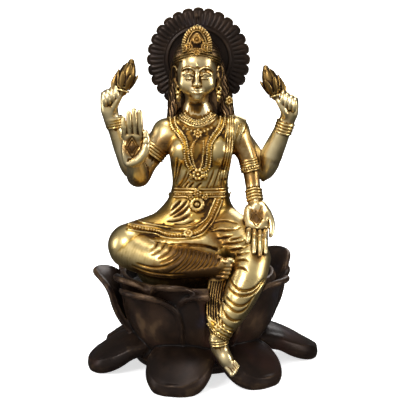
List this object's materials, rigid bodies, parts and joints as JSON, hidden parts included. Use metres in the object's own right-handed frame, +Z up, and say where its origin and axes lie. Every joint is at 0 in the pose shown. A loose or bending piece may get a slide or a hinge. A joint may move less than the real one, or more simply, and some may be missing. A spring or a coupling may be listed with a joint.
{
  "type": "four-armed lotus goddess figure",
  "caption": "Seated goddess statue with four arms, lotus buds, pleated drapery and crown, before a ribbed halo, on a double lotus seat.",
  "frame": {"origin": "middle of the lotus seat's flat underside, on the surface that it stands on", "axes": "+Z up, the figure faces -Y, +X is the viewer's right"},
  "size_m": [0.1979, 0.1794, 0.3049],
  "materials": {
    "polished_brass": "polished cast brass, with dark antique shading left in the recesses",
    "dark_patina": "brown-black patina on cast brass, glossy, worn back to brass along the rims"
  },
  "bodies": {
    "root": {"figure": "polished_brass", "lotus_seat": "dark_patina", "halo": "dark_patina"}
  },
  "joints": []
}
